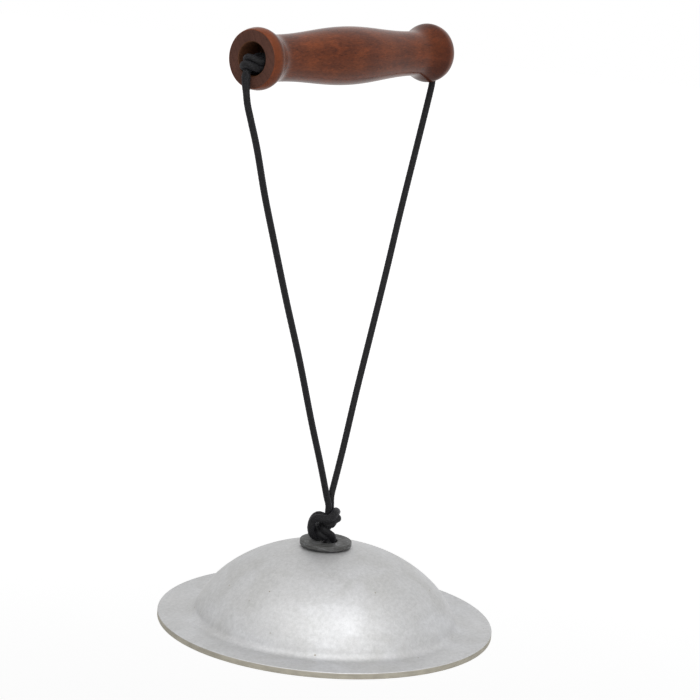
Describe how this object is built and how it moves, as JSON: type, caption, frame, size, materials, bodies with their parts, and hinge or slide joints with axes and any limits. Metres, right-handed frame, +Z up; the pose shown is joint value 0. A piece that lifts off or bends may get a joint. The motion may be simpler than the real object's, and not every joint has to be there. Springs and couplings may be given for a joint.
{
  "type": "hand-held bell cymbal",
  "caption": "Hand-held bell cymbal: a thick domed aluminium bell with a flat brim, hung by a knotted braided cord loop from a turned wooden handle.",
  "frame": {"origin": "middle of the handle, on its axis, where a hand holds it", "axes": "+X along the handle from the end with the cord's joining knot to the other end, +Z up"},
  "size_m": [0.1779, 0.1778, 0.3214],
  "materials": {
    "stained_wood": "glossy varnish, matt end faces",
    "blasted_aluminium": "satin, bead blasted",
    "dark_rubber": "matt, a little scuffed",
    "black_braid": "fine round braid"
  },
  "bodies": {
    "handle": {"handle": "stained_wood"},
    "sling": {"handle_knot_leg_end": "black_braid", "handle_knot_bore_end": "black_braid", "handle_strand": "black_braid", "left_leg": "black_braid", "right_leg": "black_braid"},
    "neck": {"neck_left_strand": "black_braid", "neck_right_strand": "black_braid"},
    "hanger": {"upper_knot_left_strand": "black_braid", "upper_knot_right_strand": "black_braid", "lower_knot": "black_braid"},
    "bell": {"bell": "blasted_aluminium"},
    "upper_washer": {"upper_washer": "dark_rubber"},
    "lower_washer": {"lower_washer": "dark_rubber"}
  },
  "joints": [
    {"name": "sling_swing", "type": "hinge", "parent": "handle", "child": "sling", "pos_m": [0, 0, 0], "axis": [1, 0, 0], "range_deg": [-90, 90]},
    {"name": "neck_fore_swing", "type": "hinge", "parent": "sling", "child": "neck", "pos_m": [0.0066, 0, -0.231], "axis": [1, 0, 0], "range_deg": [-60, 60], "deforming": ["neck_left_strand", "neck_right_strand"]},
    {"name": "neck_side_swing", "type": "hinge", "parent": "neck", "child": "hanger", "pos_m": [0.0066, 0, -0.231], "axis": [0, 1, 0], "range_deg": [-60, 60], "deforming": ["neck_left_strand", "neck_right_strand"]},
    {"name": "bell_spin", "type": "hinge", "parent": "hanger", "child": "bell", "pos_m": [0.00784, -0.00169, -0.25826], "axis": [-0.0276, -0.0436, 0.9987], "continuous": true},
    {"name": "upper_washer_turn", "type": "hinge", "parent": "hanger", "child": "upper_washer", "pos_m": [0.0063, 0.00024, -0.25666], "axis": [-0.0276, -0.0436, 0.9987], "continuous": true},
    {"name": "lower_washer_turn", "type": "hinge", "parent": "hanger", "child": "lower_washer", "pos_m": [0.008, -0.00144, -0.26402], "axis": [-0.0276, -0.0436, 0.9987], "continuous": true}
  ]
}
